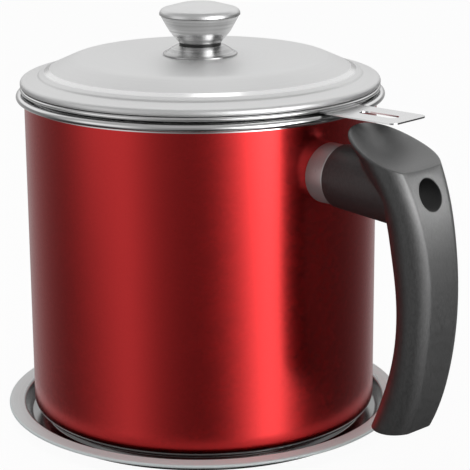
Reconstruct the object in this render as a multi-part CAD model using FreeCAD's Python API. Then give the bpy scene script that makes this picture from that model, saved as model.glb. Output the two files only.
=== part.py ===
"""Bacon grease container: a lacquered steel pot on a drip tray, with a lift-out
mesh strainer, a domed lid with a knob and a moulded handle.

Millimetres, +Z up. The origin is the centre of the ring that the tray stands on,
and the handle points along +X. Each sub-part is one solid and one STEP file.
"""

import FreeCAD, Part
import math
import os

Vector = FreeCAD.Vector

# Driving dimensions -------------------------------------------------------

# Tray
TRAY_SHEET = 0.6
TRAY_RADIUS = 80.5
TRAY_FLANGE_INNER = 75.0
TRAY_FLANGE_TOP = 5.9
TRAY_SEAT_RADIUS = 63.0
TRAY_SEAT_TOP = 3.2
TRAY_BEND = 1.2
TRAY_STEP_SLOPE = 60.0
TRAY_WALL_SLOPE = 62.0
TRAY_HEM = 0.35
TRAY_FOLD = 1.6

# Pot
POT_RADIUS = 70.0
POT_SHEET = 0.7
POT_FLOOR = TRAY_SEAT_TOP
POT_CORNER = 5.0
POT_SHOULDER = 2.0
POT_BEAD_TURN = 200
POT_BEAD_RADIUS = 1.35
POT_BEAD_OUTER = 73.2
POT_BEAD_TOP = 133.8

# Strainer
RIM_SHEET = 0.5
RIM_WALL_OUTER = 68.8
RIM_WALL_BOTTOM = 124.0
RIM_BEAD_RADIUS = 0.85
RIM_BEAD_OUTER = 71.5
RIM_BEAD_TOP = 136.3
MESH_SHEET = 0.4
MESH_FLOOR = 106.0
MESH_TOP = 131.0
BAND_BOTTOM = 127.0
EAR_SHEET = 0.6
EAR_END = 104.6
EAR_HALF_WIDTH = 10.2
EAR_CORNER = 3.0
EAR_UNDERSIDE = 134.4
EAR_TURN = 3.75
EAR_SLOT_LENGTH = 17.0
EAR_SLOT_WIDTH = 5.0
EAR_SLOT_CENTRE = 90.0

# Lid
LID_SHEET = 0.6
LID_RADIUS = 71.45
LID_TOP = 147.6
LID_CROWN = 4000.0
LID_CROWN_EDGE = 47.5
LID_SHOULDER = 12.0
LID_SLOPE = 24.0
LID_FOOT_RADIUS = 63.5
LID_STEP_BEND = 1.2
LID_STEP_SLOPE = 56.0
LID_BRIM_SLOPE = 12.0
LID_EDGE_BEND = 1.2
LID_HEM = 0.6
LID_BOTTOM = 136.5

# Knob
KNOB_SHEET = 0.6
KNOB_BASE_TOP = 151.5
KNOB_BASE_RADIUS = 14.8
KNOB_BASE_FLARE = 17.0
KNOB_WAIST_RADIUS = 8.3
KNOB_CUP_BOTTOM = 152.3
KNOB_CUP_TOP = 163.4
KNOB_CAP_RADIUS = 16.0
KNOB_CAP_CROWN = 42.0
KNOB_CAP_EDGE = 2.0
HUB_RADIUS = 4.0
HUB_TOP = 161.0
HUB_COLLAR_RADIUS = 6.0
HUB_COLLAR = 2.0

# Handle
HANDLE_AXIS = 111.0
BOSS_PAD_RADIUS = 9.0
BOSS_PAD = 1.4
BOSS_RADIUS = 4.6
FERRULE_RADIUS = 11.4
FERRULE_END = 77.5
FERRULE_SHEET = 0.8
FERRULE_ROUNDING = 0.7
FERRULE_HOLE = 5.0
NECK_START = 12.0
NECK_END = 13.8
NECK_REACH = 112.0
NECK_ROUNDING = 0.8
NECK_JOIN_ROUNDING = 1.5
DISH_ROUNDING = 0.8
GRIP_END_ROUNDING = 0.8
HOLE_ROUNDING = 0.4
COUNTERBORE_RADIUS = 5.5
COUNTERBORE_FLOOR = 98.0
FACET_CENTRE = Vector(103.2, 0, 125.1)
FACET_TILT = 22.0
FACET_DISH = 162.0
FACET_SAG = 1.0
GRIP_END = 19.6
GRIP_END_TILT = 5.0
RIDGE_ROUNDING = 3.0

# Height, inner face, outer face, half width of the outer face, half width.
GRIP_STATIONS = [
    (10.0, 91.2, 110.0, 5.2, 11.0),
    (20.0, 97.6, 116.2, 5.9, 11.6),
    (32.0, 102.8, 121.4, 6.5, 12.0),
    (50.0, 108.6, 125.4, 6.9, 12.6),
    (72.0, 109.7, 127.2, 7.0, 12.8),
    (92.0, 106.4, 125.5, 7.6, 13.2),
    (108.0, 102.4, 121.2, 8.7, 14.2),
    (122.0, 92.5, 114.6, 10.4, 15.8),
    (132.0, 84.5, 109.0, 11.6, 16.2),
    (142.0, 77.0, 102.5, 12.6, 16.6),
]
WIDEST_AT = 0.55

# Fasteners, stacked from the seat to the head
SCREW_CLEARANCE = 0.2
FLAT_WASHER = 0.8
SPRING_GAP = 0.8
HANDLE_SCREW_RADIUS = 2.5
HANDLE_WASHER_RADIUS = 5.2
HANDLE_SPRING_RADIUS = 4.4
HANDLE_SPRING = 1.2
HANDLE_HEAD_RADIUS = 4.5
HANDLE_HEAD = 3.4
HANDLE_RECESS = 4.8
HANDLE_RECESS_DEPTH = 2.2
KNOB_SCREW_RADIUS = 2.0
KNOB_WASHER_RADIUS = 5.5
KNOB_WASHER_GAP = 0.02
KNOB_SPRING_RADIUS = 3.8
KNOB_SPRING = 1.0
KNOB_HEAD_RADIUS = 4.0
KNOB_HEAD = 2.4
KNOB_RECESS = 4.2
KNOB_RECESS_DEPTH = 1.7


# Helpers ------------------------------------------------------------------

def polar(centre, distance, degrees):
    """Point in the XZ plane at a distance and direction from a centre."""
    angle = math.radians(degrees)
    return centre + Vector(distance * math.cos(angle), 0, distance * math.sin(angle))


def sheet_profile(start, heading, moves, thickness):
    """Face of a bent sheet in the XZ plane.

    The sheet's middle line starts at (radius, height) and follows the moves: a
    number runs straight on, and a pair (radius, degrees) bends, to the left
    when the degrees are positive.
    """
    here = Vector(start[0], 0, start[1])
    half = thickness / 2
    left_edges = []
    right_edges = []
    for move in moves:
        sides = ((left_edges, half, 90), (right_edges, half, -90))
        if isinstance(move, tuple):
            radius, turn = move
            hand = 1 if turn > 0 else -1
            centre = polar(here, radius, heading + 90 * hand)
            for edges, offset, side in sides:
                reach = radius - offset * hand if side > 0 else radius + offset * hand
                fan = [heading - 90 * hand + turn * part for part in (0, 0.5, 1)]
                edges.append(Part.Arc(*[polar(centre, reach, a) for a in fan]).toShape())
            here = polar(centre, radius, heading - 90 * hand + turn)
            heading += turn
        else:
            there = polar(here, move, heading)
            for edges, offset, side in sides:
                ends = [polar(point, offset, heading + side) for point in (here, there)]
                edges.append(Part.makeLine(*ends))
            here = there
    start_cap = Part.makeLine(left_edges[0].Vertexes[0].Point, right_edges[0].Vertexes[0].Point)
    end_cap = Part.makeLine(left_edges[-1].Vertexes[-1].Point, right_edges[-1].Vertexes[-1].Point)
    edges = left_edges + right_edges + [start_cap, end_cap]
    return Part.Face(Part.Wire(Part.__sortEdges__(edges)))


def spun(face):
    """Solid of revolution of a face about the pot's axis."""
    return face.revolve(Vector(0, 0, 0), Vector(0, 0, 1), 360)


def spun_sheet(start, heading, moves, thickness):
    """Sheet metal spun about the pot's axis."""
    return spun(sheet_profile(start, heading, moves, thickness))


def disc(radius, bottom, top, bore=0.0):
    """Upright disc or ring on the pot's axis."""
    solid = Part.makeCylinder(radius, top - bottom, Vector(0, 0, bottom))
    if bore:
        solid = solid.cut(Part.makeCylinder(bore, top - bottom, Vector(0, 0, bottom)))
    return solid


def rod(radius, inner_end, outer_end):
    """Cylinder along the handle's axis, between two distances from the pot's axis."""
    base = Vector(inner_end, 0, HANDLE_AXIS)
    return Part.makeCylinder(radius, outer_end - inner_end, base, Vector(1, 0, 0))


def split_ring(ring, centre, along, reach):
    """Spring washer: a ring with a narrow slanting gap cut on one side."""
    slant = 25
    gap = Part.makeBox(reach, SPRING_GAP, 4.0, Vector(0, -SPRING_GAP / 2, -2.0))
    gap.rotate(Vector(0, 0, 0), Vector(1, 0, 0), slant)
    gap.Placement = FreeCAD.Placement(centre, FreeCAD.Rotation(Vector(0, 0, 1), along)) * gap.Placement
    return ring.cut(gap)


def cross_recess(centre, along, size, depth):
    """Cross-shaped driver recess, sunk along a direction from the centre of a head."""
    arms = []
    width = size * 0.22
    for turn in (0, 90):
        arm = Part.makeBox(size, width, depth, Vector(-size / 2, -width / 2, 0))
        arm.rotate(Vector(0, 0, 0), Vector(0, 0, 1), turn)
        arms.append(arm)
    cross = arms[0].fuse(arms[1])
    cross.Placement = FreeCAD.Placement(centre, FreeCAD.Rotation(Vector(0, 0, 1), along))
    return cross


# Tray and pot -------------------------------------------------------------

def step_between(rise, bend, slope):
    """Straight run and whole reach of a sloping step with the same bend at both ends."""
    slope = math.radians(slope)
    run = (rise - 2 * bend * (1 - math.cos(slope))) / math.sin(slope)
    return run, run * math.cos(slope) + 2 * bend * math.sin(slope)


def drip_tray():
    """Pressed saucer: raised seat, gutter, sloping wall and a flange folded under."""
    half = TRAY_SHEET / 2
    step, step_reach = step_between(TRAY_SEAT_TOP - TRAY_SHEET, TRAY_BEND, TRAY_STEP_SLOPE)
    wall, wall_reach = step_between(TRAY_FLANGE_TOP - TRAY_SHEET, TRAY_BEND, TRAY_WALL_SLOPE)
    gutter = TRAY_FLANGE_INNER - wall_reach - TRAY_SEAT_RADIUS - step_reach
    flange = TRAY_RADIUS - half - TRAY_HEM - TRAY_FLANGE_INNER
    moves = [
        TRAY_SEAT_RADIUS,
        (TRAY_BEND, -TRAY_STEP_SLOPE), step, (TRAY_BEND, TRAY_STEP_SLOPE),
        gutter,
        (TRAY_BEND, TRAY_WALL_SLOPE), wall, (TRAY_BEND, -TRAY_WALL_SLOPE),
        flange,
        (TRAY_HEM, -180), TRAY_FOLD,
    ]
    return spun_sheet((0, TRAY_SEAT_TOP - half), 0, moves, TRAY_SHEET)


def pot_shell():
    """Deep-drawn body with a rounded bottom corner and a rim rolled outwards."""
    half = POT_SHEET / 2
    corner = POT_CORNER - half
    shoulder = POT_SHOULDER - half
    bead = POT_BEAD_RADIUS - half
    wall_top = POT_BEAD_TOP - half - shoulder
    bead_run = POT_BEAD_OUTER - half - bead - (POT_RADIUS - half + shoulder)
    moves = [
        POT_RADIUS - POT_CORNER,
        (corner, 90),
        wall_top - POT_FLOOR - half - corner,
        (shoulder, -90),
        bead_run,
        (bead, -POT_BEAD_TURN),
    ]
    return spun_sheet((0, POT_FLOOR + half), 0, moves, POT_SHEET)


def outside_pot(solid):
    """Keep what lies outside the pot's wall."""
    return solid.cut(disc(POT_RADIUS, 0, POT_BEAD_TOP))


# Handle -------------------------------------------------------------------

def handle_boss():
    """Pad welded to the wall, with a threaded boss for the handle's screw."""
    pad = rod(BOSS_PAD_RADIUS, POT_RADIUS - 3, POT_RADIUS + BOSS_PAD)
    boss = rod(BOSS_RADIUS, POT_RADIUS - 3, FERRULE_END - 1.0)
    thread = rod(HANDLE_SCREW_RADIUS, POT_RADIUS + 1.0, FERRULE_END)
    return outside_pot(pad.fuse(boss)).cut(thread).removeSplitter()


def handle_ferrule():
    """Drawn collar, coped to the wall, with an end plate that the neck sits on."""
    collar = rod(FERRULE_RADIUS, POT_RADIUS - 4, FERRULE_END)
    rim = [edge for edge in collar.Edges if edge.BoundBox.XMin > FERRULE_END - 0.01]
    collar = collar.makeFillet(FERRULE_ROUNDING, rim)
    hollow = rod(FERRULE_RADIUS - FERRULE_SHEET, POT_RADIUS - 5, FERRULE_END - 1.0)
    hole = rod(FERRULE_HOLE, POT_RADIUS, FERRULE_END + 1)
    return outside_pot(collar.cut(hollow).cut(hole))


def grip_section(height, inner, outer, face_half, half):
    """Closed outline of the grip at one height: flat outer face, rounded inner side."""
    widest = inner + WIDEST_AT * (outer - inner)
    diagonal = widest - math.sqrt(0.5) * (widest - inner)
    side = [(outer, face_half), (widest, half), (diagonal, half * math.sqrt(0.5))]
    points = side + [(inner, 0)] + [(x, -y) for x, y in reversed(side)]
    corners = [Vector(x, y, height) for x, y in points]
    curve = Part.BSplineCurve()
    curve.interpolate(corners)
    face = Part.makeLine(corners[-1], corners[0])
    return Part.Wire([curve.toShape(), face])


def grip_body():
    """Bowed grip with its end cut square and its two outer ridges rounded."""
    body = Part.makeLoft([grip_section(*station) for station in GRIP_STATIONS], True)
    below = Part.makeBox(80, 60, 30, Vector(60, -30, GRIP_END - 30))
    below.rotate(Vector(100, 0, GRIP_END), Vector(0, 1, 0), -GRIP_END_TILT)
    body = body.cut(below)
    return body.makeFillet(RIDGE_ROUNDING, [edge for edge in body.Edges if is_ridge(edge)])


def thumb_dish():
    """Large ball that hollows the top of the grip for the thumb."""
    lean = math.radians(FACET_TILT)
    normal = Vector(math.sin(lean), 0, math.cos(lean))
    return Part.makeSphere(FACET_DISH, FACET_CENTRE + normal * (FACET_DISH - FACET_SAG))


def neck_body():
    """Round neck that widens from the ferrule into the grip."""
    on_axis = Vector(FERRULE_END, 0, 0)
    start = Vector(FERRULE_END, 0, NECK_START - NECK_ROUNDING)
    round_end = Vector(FERRULE_END + NECK_ROUNDING, 0, NECK_START)
    round_middle = polar(Vector(round_end.x, 0, start.z), NECK_ROUNDING, 135)
    wide_end = Vector(NECK_REACH, 0, NECK_END)
    axis_end = Vector(NECK_REACH, 0, 0)
    edges = [
        Part.makeLine(on_axis, start),
        Part.Arc(start, round_middle, round_end).toShape(),
        Part.makeLine(round_end, wide_end),
        Part.makeLine(wide_end, axis_end),
        Part.makeLine(axis_end, on_axis),
    ]
    neck = Part.Face(Part.Wire(edges)).revolve(Vector(0, 0, 0), Vector(1, 0, 0), 360)
    neck.translate(Vector(0, 0, HANDLE_AXIS))
    return neck


def is_ridge(edge):
    """The two long edges between the grip's outer face and its sides."""
    box = edge.BoundBox
    return box.ZLength > 60 and min(abs(box.YMin), abs(box.YMax)) > 3


def edges_of(solid, *surfaces):
    """Edges that touch every one of the named kinds of surface."""
    found = []
    for edge in solid.Edges:
        kinds = {type(face.Surface).__name__ for face in solid.ancestorsOfType(edge, Part.Face)}
        if kinds.issuperset(surfaces):
            found.append(edge)
    return found


def soft_edges(handle):
    """Handle with the small radii that its mould has where two of its forms meet."""
    foot = [edge for edge in edges_of(handle, "Plane") if edge.BoundBox.ZMax < GRIP_END + 5]
    handle = handle.makeFillet(GRIP_END_ROUNDING, foot)
    handle = handle.makeFillet(DISH_ROUNDING, edges_of(handle, "Sphere"))
    return handle.makeFillet(NECK_JOIN_ROUNDING, edges_of(handle, "BSplineSurface", "Cone"))


def handle_grip():
    """Moulded handle: neck and grip in one, with the screw's stepped bore."""
    handle = soft_edges(grip_body().fuse(neck_body()).cut(thumb_dish()))
    bore = rod(HANDLE_SCREW_RADIUS + SCREW_CLEARANCE, FERRULE_END - 1, COUNTERBORE_FLOOR)
    counterbore = rod(COUNTERBORE_RADIUS, COUNTERBORE_FLOOR, 140)
    handle = handle.cut(bore).cut(counterbore)
    mouth = edges_of(handle, "Cylinder", "BSplineSurface")
    return handle.makeFillet(HOLE_ROUNDING, mouth)


def handle_screw():
    """Long screw from the bottom of the grip's hole into the boss."""
    seat = COUNTERBORE_FLOOR + FLAT_WASHER + HANDLE_SPRING
    top = seat + HANDLE_HEAD
    head = rod(HANDLE_HEAD_RADIUS, seat, top)
    shank = rod(HANDLE_SCREW_RADIUS, POT_RADIUS + 2.4, seat)
    centre = Vector(top, 0, HANDLE_AXIS)
    recess = cross_recess(centre, Vector(-1, 0, 0), HANDLE_RECESS, HANDLE_RECESS_DEPTH)
    return head.fuse(shank).cut(recess).removeSplitter()


def handle_flat_washer():
    """Washer on the floor of the grip's hole."""
    top = COUNTERBORE_FLOOR + FLAT_WASHER
    washer = rod(HANDLE_WASHER_RADIUS, COUNTERBORE_FLOOR, top)
    return washer.cut(rod(HANDLE_SCREW_RADIUS + SCREW_CLEARANCE, COUNTERBORE_FLOOR, top))


def handle_spring_washer():
    """Split washer under the screw's head."""
    start = COUNTERBORE_FLOOR + FLAT_WASHER
    end = start + HANDLE_SPRING
    ring = rod(HANDLE_SPRING_RADIUS, start, end)
    ring = ring.cut(rod(HANDLE_SCREW_RADIUS + SCREW_CLEARANCE, start, end))
    middle = Vector((start + end) / 2, 0, HANDLE_AXIS)
    return split_ring(ring, middle, Vector(1, 0, 0), HANDLE_SPRING_RADIUS + 1)


# Strainer -----------------------------------------------------------------

def strainer_rim():
    """Ring that hangs in the mouth, stepped over the pot's rim and rolled to a bead."""
    half = RIM_SHEET / 2
    bead = RIM_BEAD_RADIUS - half
    wall = RIM_WALL_OUTER - half
    step_turn = 75
    step_bend = 0.8
    sweep = step_bend * math.sin(math.radians(step_turn))
    drift = step_bend * (1 - math.cos(math.radians(step_turn)))
    bead_start = RIM_BEAD_OUTER - half - 2 * bead
    flange = (bead_start - wall - 2 * drift) / math.sin(math.radians(step_turn))
    flange_rise = flange * math.cos(math.radians(step_turn))
    bead_centre = RIM_BEAD_TOP - half - bead
    wall_height = bead_centre - 0.4 - 2 * sweep - flange_rise - RIM_WALL_BOTTOM
    moves = [
        wall_height,
        (step_bend, -step_turn), flange, (step_bend, step_turn),
        0.4,
        (bead, -250),
    ]
    return spun_sheet((wall, RIM_WALL_BOTTOM), 90, moves, RIM_SHEET)


def strainer_mesh():
    """Woven dish, as one thin closed wall, clamped inside the ring."""
    half = MESH_SHEET / 2
    mesh_radius = RIM_WALL_OUTER - RIM_SHEET - half
    lean = 78
    corner = 9.0
    soft_bend = 12.0
    straight_up = MESH_TOP - BAND_BOTTOM
    corner_reach = corner * math.sin(math.radians(lean))
    corner_rise = corner * (1 - math.cos(math.radians(lean)))
    bend_rise = soft_bend * math.cos(math.radians(lean))
    bend_reach = soft_bend * (1 - math.sin(math.radians(lean)))
    rise = MESH_TOP - straight_up - MESH_FLOOR - half - corner_rise - bend_rise
    wall = rise / math.sin(math.radians(lean))
    floor = mesh_radius - bend_reach - wall * math.cos(math.radians(lean)) - corner_reach
    moves = [floor, (corner, lean), wall, (soft_bend, 90 - lean), straight_up]
    return spun_sheet((0, MESH_FLOOR + half), 0, moves, MESH_SHEET)


def strainer_band():
    """Band that clamps the mesh against the ring."""
    outer = RIM_WALL_OUTER - RIM_SHEET - MESH_SHEET
    return disc(outer, BAND_BOTTOM, MESH_TOP, outer - 0.5)


def strainer_ear():
    """Flat lifting tab with a slot, welded to the bead and lying over the handle."""
    inner = RIM_BEAD_OUTER - RIM_BEAD_RADIUS
    plate_corner = Vector(inner, -EAR_HALF_WIDTH, EAR_UNDERSIDE)
    plate = Part.makeBox(EAR_END - inner, 2 * EAR_HALF_WIDTH, EAR_SHEET, plate_corner)
    end_edges = [edge for edge in plate.Edges if edge.BoundBox.XMin > EAR_END - 0.01]
    upright = [edge for edge in end_edges if edge.BoundBox.ZLength > 0.1]
    plate = plate.makeFillet(EAR_CORNER, upright)
    end_radius = EAR_SLOT_WIDTH / 2
    reach = EAR_SLOT_LENGTH / 2 - end_radius
    slot_corner = Vector(EAR_SLOT_CENTRE - reach, -end_radius, EAR_UNDERSIDE - 2)
    slot = Part.makeBox(2 * reach, EAR_SLOT_WIDTH, 5, slot_corner)
    for side in (-1, 1):
        end = Vector(EAR_SLOT_CENTRE + side * reach, 0, EAR_UNDERSIDE - 2)
        slot = slot.fuse(Part.makeCylinder(end_radius, 5, end))
    ear = plate.cut(slot).cut(disc(inner + 0.2, EAR_UNDERSIDE - 1, EAR_UNDERSIDE + 2)).removeSplitter()
    ear.rotate(Vector(0, 0, 0), Vector(0, 0, 1), EAR_TURN)
    return ear


# Lid and knob -------------------------------------------------------------

def bent_down(start, radius, shallow, steep):
    """Where a falling sheet gets to in a bend between two slopes, in degrees."""
    shallow = math.radians(shallow)
    steep = math.radians(steep)
    reach = radius * (math.sin(steep) - math.sin(shallow))
    return (start[0] + reach, start[1] - radius * (math.cos(shallow) - math.cos(steep)))


def lid_shell():
    """Domed lid: flat crown, rounded shoulder, shallow step, brim and hemmed edge."""
    half = LID_SHEET / 2
    crown_turn = math.degrees(math.asin(LID_CROWN_EDGE / LID_CROWN))
    here = (LID_CROWN_EDGE, LID_TOP - half - LID_CROWN * (1 - math.cos(math.radians(crown_turn))))
    here = bent_down(here, LID_SHOULDER, crown_turn, LID_SLOPE)
    side = (LID_FOOT_RADIUS - here[0]) / math.cos(math.radians(LID_SLOPE))
    here = (LID_FOOT_RADIUS, here[1] - side * math.sin(math.radians(LID_SLOPE)))
    here = bent_down(here, LID_STEP_BEND, LID_SLOPE, LID_STEP_SLOPE)
    here = bent_down(here, LID_STEP_BEND, LID_BRIM_SLOPE, LID_STEP_SLOPE)
    brim_slope = math.radians(LID_BRIM_SLOPE)
    edge_reach = LID_EDGE_BEND * (1 - math.sin(brim_slope))
    brim = (LID_RADIUS - half - edge_reach - here[0]) / math.cos(brim_slope)
    edge_height = here[1] - brim * math.sin(brim_slope) - LID_EDGE_BEND * math.cos(brim_slope)
    skirt = edge_height - LID_HEM - (LID_BOTTOM + half)
    moves = [
        (LID_CROWN, -crown_turn),
        (LID_SHOULDER, crown_turn - LID_SLOPE),
        side,
        (LID_STEP_BEND, LID_SLOPE - LID_STEP_SLOPE),
        (LID_STEP_BEND, LID_STEP_SLOPE - LID_BRIM_SLOPE),
        brim,
        (LID_EDGE_BEND, LID_BRIM_SLOPE - 90),
        skirt,
        (LID_HEM, -180), 0.4,
    ]
    blank = spun_sheet((0, LID_TOP - half), 0, moves, LID_SHEET)
    return blank.cut(disc(KNOB_SCREW_RADIUS + SCREW_CLEARANCE, LID_TOP - 3, LID_TOP + 3))


def knob_base():
    """Flared foot of the knob, a shallow bell with a small lip that stands on the lid."""
    half = KNOB_SHEET / 2
    top_bend = 0.5
    lip_bend = 0.35
    shallow = 24
    steep = 42
    top_run = KNOB_WAIST_RADIUS + 0.6 - HUB_RADIUS
    here = bent_down((HUB_RADIUS + top_run, KNOB_BASE_TOP - half), top_bend, 0, shallow)
    here = bent_down(here, KNOB_BASE_FLARE, shallow, steep)
    here = bent_down(here, lip_bend, 0, steep)
    lip_run = KNOB_BASE_RADIUS - half - lip_bend - here[0]
    lip_drop = here[1] - lip_bend - LID_TOP
    moves = [
        top_run,
        (top_bend, -shallow),
        (KNOB_BASE_FLARE, shallow - steep),
        (lip_bend, steep),
        lip_run,
        (lip_bend, -90),
        lip_drop,
    ]
    return spun_sheet((HUB_RADIUS, KNOB_BASE_TOP - half), 0, moves, KNOB_SHEET)


def knob_spacer():
    """Dark ring between the foot and the cone."""
    return disc(KNOB_WAIST_RADIUS, KNOB_BASE_TOP, KNOB_CUP_BOTTOM, HUB_RADIUS)


def knob_cup():
    """Polished cone of the knob, as a spun cup that widens upwards."""
    half = KNOB_SHEET / 2
    corner = 1.0
    low_slope = math.radians(50)
    high_slope = math.radians(61)
    low_side = 4.2
    waist_bend = 10.0
    height = KNOB_CUP_BOTTOM + half + corner * (1 - math.cos(low_slope))
    height += low_side * math.sin(low_slope)
    height += waist_bend * (math.cos(low_slope) - math.cos(high_slope))
    moves = [
        KNOB_WAIST_RADIUS - 0.6 - HUB_RADIUS,
        (corner, 50),
        low_side,
        (waist_bend, 11),
        (KNOB_CUP_TOP - half * math.cos(high_slope) - height) / math.sin(high_slope),
    ]
    return spun_sheet((HUB_RADIUS, KNOB_CUP_BOTTOM + half), 0, moves, KNOB_SHEET)


def knob_cap():
    """Domed disc with a short skirt that closes the cone."""
    half = KNOB_SHEET / 2
    crown = KNOB_CAP_CROWN - half
    edge = KNOB_CAP_EDGE
    turn = math.degrees(math.asin((KNOB_CAP_RADIUS - half - edge) / (crown - edge)))
    crown_drop = crown - (crown - edge) * math.cos(math.radians(turn))
    skirt = 0.3
    top = KNOB_CUP_TOP + skirt + crown_drop
    moves = [(crown, -turn), (edge, turn - 90), skirt]
    return spun_sheet((0, top), 0, moves, KNOB_SHEET)


def knob_insert():
    """Threaded hub that stands on the lid and runs up inside the cone."""
    hub = disc(HUB_RADIUS, LID_TOP, HUB_TOP)
    seat = KNOB_CUP_BOTTOM + KNOB_SHEET
    collar = disc(HUB_COLLAR_RADIUS, seat, seat + HUB_COLLAR)
    thread = disc(KNOB_SCREW_RADIUS, LID_TOP, HUB_TOP - 1.5)
    return hub.fuse(collar).cut(thread).removeSplitter()


def knob_flat_washer():
    """Washer against the lid's underside."""
    top = LID_TOP - LID_SHEET - KNOB_WASHER_GAP
    return disc(KNOB_WASHER_RADIUS, top - FLAT_WASHER, top, KNOB_SCREW_RADIUS + SCREW_CLEARANCE)


def knob_spring_washer():
    """Split washer between the flat washer and the screw's head."""
    top = LID_TOP - LID_SHEET - KNOB_WASHER_GAP - FLAT_WASHER
    ring = disc(KNOB_SPRING_RADIUS, top - KNOB_SPRING, top, KNOB_SCREW_RADIUS + SCREW_CLEARANCE)
    middle = Vector(0, 0, top - KNOB_SPRING / 2)
    return split_ring(ring, middle, Vector(0, 0, 1), KNOB_SPRING_RADIUS + 1)


def knob_screw():
    """Screw from under the lid into the hub."""
    seat = LID_TOP - LID_SHEET - KNOB_WASHER_GAP - FLAT_WASHER - KNOB_SPRING
    head = disc(KNOB_HEAD_RADIUS, seat - KNOB_HEAD, seat)
    shank = disc(KNOB_SCREW_RADIUS, seat, HUB_TOP - 3.0)
    centre = Vector(0, 0, seat - KNOB_HEAD)
    recess = cross_recess(centre, Vector(0, 0, 1), KNOB_RECESS, KNOB_RECESS_DEPTH)
    return head.fuse(shank).cut(recess).removeSplitter()


SUB_PARTS = [
    drip_tray,
    pot_shell,
    handle_boss,
    handle_ferrule,
    handle_grip,
    handle_screw,
    handle_flat_washer,
    handle_spring_washer,
    strainer_rim,
    strainer_mesh,
    strainer_band,
    strainer_ear,
    lid_shell,
    knob_base,
    knob_spacer,
    knob_cup,
    knob_cap,
    knob_insert,
    knob_screw,
    knob_flat_washer,
    knob_spring_washer,
]


def main():
    os.makedirs("parts", exist_ok=True)
    for make in SUB_PARTS:
        shape = make()
        solid = shape.Solids[0]
        assert len(shape.Solids) == 1 and solid.isValid(), make.__name__
        solid.exportStep(f"parts/{make.__name__}.step")
        box = solid.BoundBox
        low = f"{box.XMin:.1f} {box.YMin:.1f} {box.ZMin:.2f}"
        high = f"{box.XMax:.1f} {box.YMax:.1f} {box.ZMax:.2f}"
        print(f"{make.__name__:22s} {solid.Volume:10.1f} mm3  from {low}  to {high}")


main()
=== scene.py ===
# %% [markdown]
# # A bacon grease container, dressed in Blender
#
# The CAD model already holds every piece of this pot at its real size: the drip
# tray, the drawn steel pot, the strainer, the lid with its knob and the moulded
# handle. Here each piece that shows gets the surface of the real one. Sheet metal
# is drawn again as a smooth spun shape, because polished steel shows every facet,
# and the hidden screws keep their CAD meshes and only get a finish.

import math

import bmesh
import bpy
from mathutils import Matrix, Vector


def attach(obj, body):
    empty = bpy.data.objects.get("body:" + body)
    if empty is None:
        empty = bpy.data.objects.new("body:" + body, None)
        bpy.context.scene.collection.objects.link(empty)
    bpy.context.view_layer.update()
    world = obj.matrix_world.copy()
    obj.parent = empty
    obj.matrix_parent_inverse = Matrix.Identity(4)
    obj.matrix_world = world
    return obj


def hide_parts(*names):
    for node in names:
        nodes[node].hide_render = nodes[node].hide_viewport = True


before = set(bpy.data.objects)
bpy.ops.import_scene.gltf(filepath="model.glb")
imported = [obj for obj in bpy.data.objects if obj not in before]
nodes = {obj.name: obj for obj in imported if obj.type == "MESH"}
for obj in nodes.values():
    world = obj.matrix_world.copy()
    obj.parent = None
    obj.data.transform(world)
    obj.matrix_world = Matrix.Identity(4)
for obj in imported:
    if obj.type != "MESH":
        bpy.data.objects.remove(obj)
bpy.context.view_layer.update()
MM = 0.001

# %% [markdown]
# ## The camera
#
# Kitchenware is best shown from a few steps back with a long lens, so that the
# round rims stay nearly parallel. A short lens close by would fill the frame as
# well, but it would spread the lid and shrink the tray. The camera stands a little
# above the lid and in front of the handle's side, and looks slightly down.

# %% Camera
LENS = 135.8
SENSOR_WIDTH = 36
CAMERA_PLACE = (0.5135, -0.4705, 0.2635)
CAMERA_ROLL = -0.0064

camera_data = bpy.data.cameras.new("camera")
camera_data.lens = LENS
camera_data.sensor_width = SENSOR_WIDTH
camera = bpy.data.objects.new("camera", camera_data)
bpy.context.scene.collection.objects.link(camera)
bpy.context.scene.camera = camera
looking = Vector((-0.6986, 0.6651, -0.2637))
roll = Matrix.Rotation(CAMERA_ROLL, 4, "Z")
turned = looking.to_track_quat("-Z", "Y").to_matrix().to_4x4() @ roll
camera.matrix_world = Matrix.Translation(CAMERA_PLACE) @ turned
CAMERA_AZIMUTH = math.degrees(math.atan2(camera.location.y, camera.location.x))
print("camera azimuth", round(CAMERA_AZIMUTH, 1))

# %% [markdown]
# ## Writing materials as sums
#
# Shader nodes are wired one by one, which hides the thought behind them. The small
# class below wraps a node's output so that Python's own operators add the Math
# nodes: `height * 3 + 1` becomes two nodes. Every other node comes from one method
# that sets the node up and fills or links its sockets.

# %% A number that varies over a surface
class Number:
    """An output socket that can be used in sums."""

    def __init__(self, graph, socket):
        self.graph = graph
        self.socket = socket

    def sum(self, operation, *values):
        """The result of one Math node on these values."""
        settings = {"operation": operation}
        made = self.graph.node("ShaderNodeMath", settings, dict(enumerate(values)))
        return self.graph.number(made)

    def __add__(self, other):
        return self.sum("ADD", self, other)

    def __radd__(self, other):
        return self.sum("ADD", other, self)

    def __sub__(self, other):
        return self.sum("SUBTRACT", self, other)

    def __rsub__(self, other):
        return self.sum("SUBTRACT", other, self)

    def __mul__(self, other):
        return self.sum("MULTIPLY", self, other)

    def __rmul__(self, other):
        return self.sum("MULTIPLY", other, self)

    def __truediv__(self, other):
        return self.sum("DIVIDE", self, other)

    def __abs__(self):
        return self.sum("ABSOLUTE", self)

    def larger(self, other):
        """The larger of two numbers."""
        return self.sum("MAXIMUM", self, other)

    def above(self, edge, blur):
        """0 below an edge and 1 above it, with a soft step between."""
        return self.graph.step(self, edge - blur, edge + blur)


print("numbers add, subtract, multiply and divide")


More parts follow.
